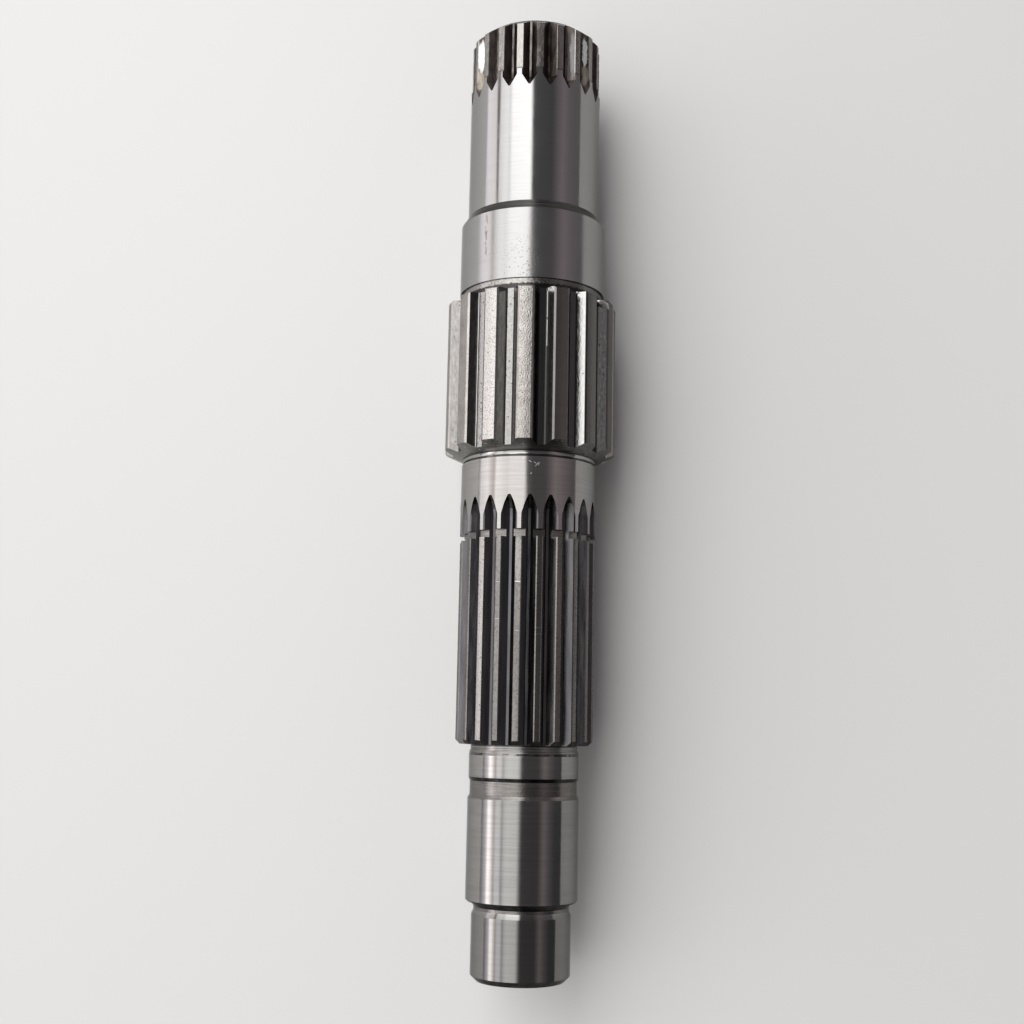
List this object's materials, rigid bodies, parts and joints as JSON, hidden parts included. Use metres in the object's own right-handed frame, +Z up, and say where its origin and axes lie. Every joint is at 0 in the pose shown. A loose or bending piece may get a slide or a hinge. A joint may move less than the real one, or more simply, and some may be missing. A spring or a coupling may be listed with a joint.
{
  "type": "countershaft",
  "caption": "Stepped steel gearbox countershaft with a sprocket spline, a ground bearing seat, a wide and a long gear spline, and plain journals.",
  "frame": {"origin": "on the shaft's axis, at the middle of the bearing seat's length", "axes": "+Y along the axis to the sprocket end, +Z up as the shaft lies on two teeth of its wide spline"},
  "size_m": [0.029, 0.1613, 0.0289],
  "materials": {
    "steel": "ground journals, rolled and heat-treated splines, oil-dark tooth spaces"
  },
  "bodies": {
    "root": {"shaft": "steel"}
  },
  "joints": []
}
